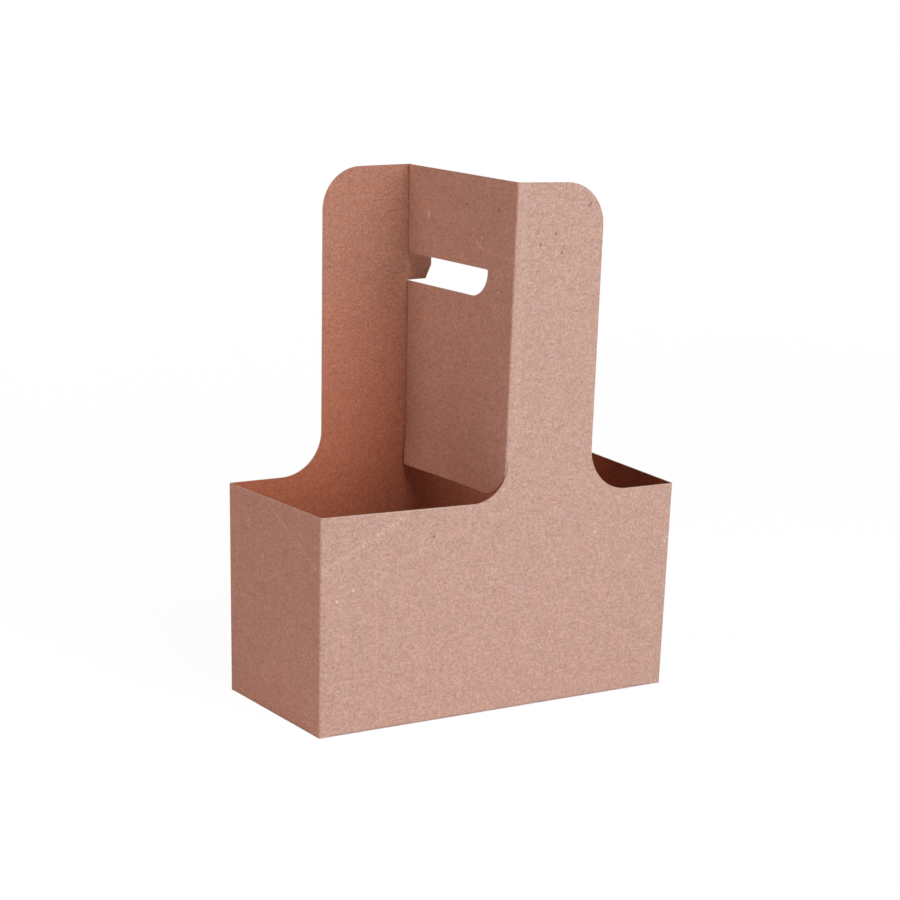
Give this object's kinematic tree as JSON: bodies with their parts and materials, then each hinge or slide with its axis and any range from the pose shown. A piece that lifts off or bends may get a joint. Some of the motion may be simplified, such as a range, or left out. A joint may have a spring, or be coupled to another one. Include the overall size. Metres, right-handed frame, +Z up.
{
  "type": "cup carrier",
  "caption": "Folded kraft board cup carrier: an open tray with a Z-shaped handle, whose divider keeps the cups apart and has a hand slot.",
  "frame": {"origin": "on the underside, at the middle of the tray's length and depth", "axes": "+X along the tray to the right as seen from the front, +Y from front to back, +Z up"},
  "size_m": [0.19, 0.087, 0.246],
  "materials": {
    "kraft_board": "uncoated kraft board, matt, with fine light and dark fibres"
  },
  "bodies": {
    "root": {"carrier": "kraft_board"}
  },
  "joints": []
}
